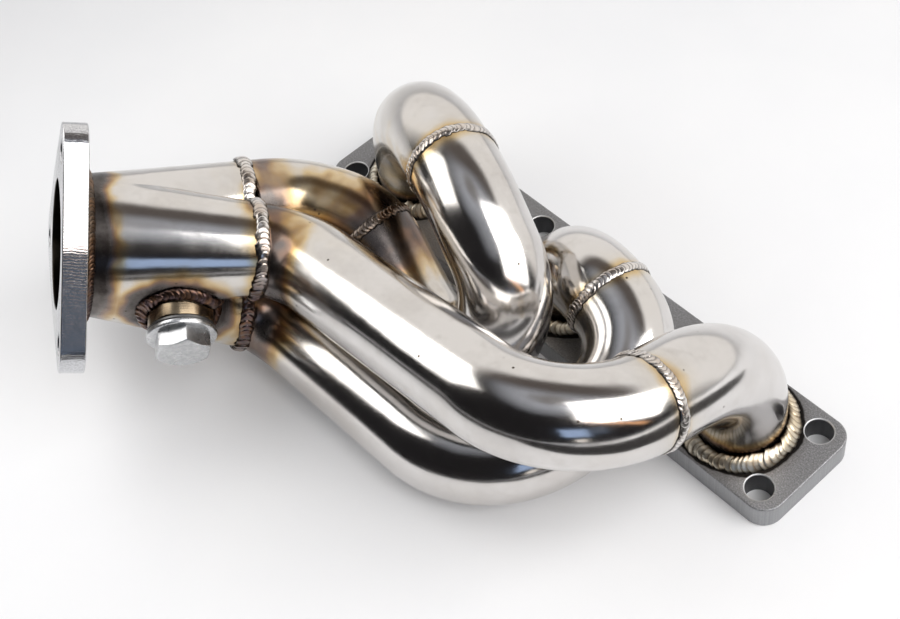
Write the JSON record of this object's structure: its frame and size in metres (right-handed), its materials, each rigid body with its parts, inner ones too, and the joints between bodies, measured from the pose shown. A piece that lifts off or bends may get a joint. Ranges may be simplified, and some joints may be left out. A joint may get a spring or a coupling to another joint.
{
  "type": "exhaust manifold",
  "caption": "Tubular exhaust manifold: a long head flange, bent pipe runners, a merge collector, an outlet flange and a plugged sensor bung.",
  "frame": {"origin": "on the head flange's gasket face, on its long centreline, halfway between the middle port and the port below runner 3", "axes": "+X along the head flange towards port 1, +Z out of the flange on the runner side, +Y to the flange edge away from the outlet; the outlet faces -X -Y +Z"},
  "size_m": [0.309, 0.2194, 0.1324],
  "materials": {
    "flange_steel": "dark bead-blasted mild steel",
    "outlet_flange_steel": "milled steel edge, fine machining marks",
    "pipe_stainless": "polished stainless tube, straw heat tint near the welds",
    "weld_bead": "bright TIG bead with stacked ripples",
    "port_weld_bead": "TIG bead with gold and brown heat tint",
    "bung_steel": "turned stainless, light tint",
    "plug_zinc": "bright zinc plate",
    "washer_metal": "dull crushed metal washer"
  },
  "bodies": {
    "manifold": {"head_flange": "flange_steel", "outlet_flange": "outlet_flange_steel", "runner_1_elbow": "pipe_stainless", "runner_1_sweep": "pipe_stainless", "runner_1_weld": "weld_bead", "port_1_weld": "port_weld_bead", "runner_2_elbow": "pipe_stainless", "runner_2_sweep": "pipe_stainless", "runner_2_weld": "weld_bead", "port_2_weld": "port_weld_bead", "runner_3_elbow": "pipe_stainless", "runner_3_return_bend": "pipe_stainless", "runner_3_sweep": "pipe_stainless", "runner_3_weld": "weld_bead", "runner_3_weld_b": "weld_bead", "port_3_weld": "port_weld_bead", "collector": "pipe_stainless", "collector_inlet_weld": "weld_bead", "outlet_weld": "port_weld_bead", "sensor_bung": "bung_steel", "bung_weld": "port_weld_bead"},
    "plug_slider": {"sealing_washer": "washer_metal"},
    "plug": {"bung_plug": "plug_zinc"}
  },
  "joints": [
    {"name": "plug_travel", "type": "slide", "parent": "manifold", "child": "plug_slider", "axis": [0.7981, -0.5673, -0.203], "range_m": [0, 0.0135]},
    {"name": "plug_turn", "type": "hinge", "parent": "plug_slider", "child": "plug", "pos_m": [-0.05748, -0.12101, 0.06382], "axis": [0.7981, -0.5673, -0.203], "range_deg": [0, 3241]}
  ],
  "couplings": [
    {"joint": "plug_turn", "follows": "plug_travel", "rad_per_m": 4188.8}
  ]
}
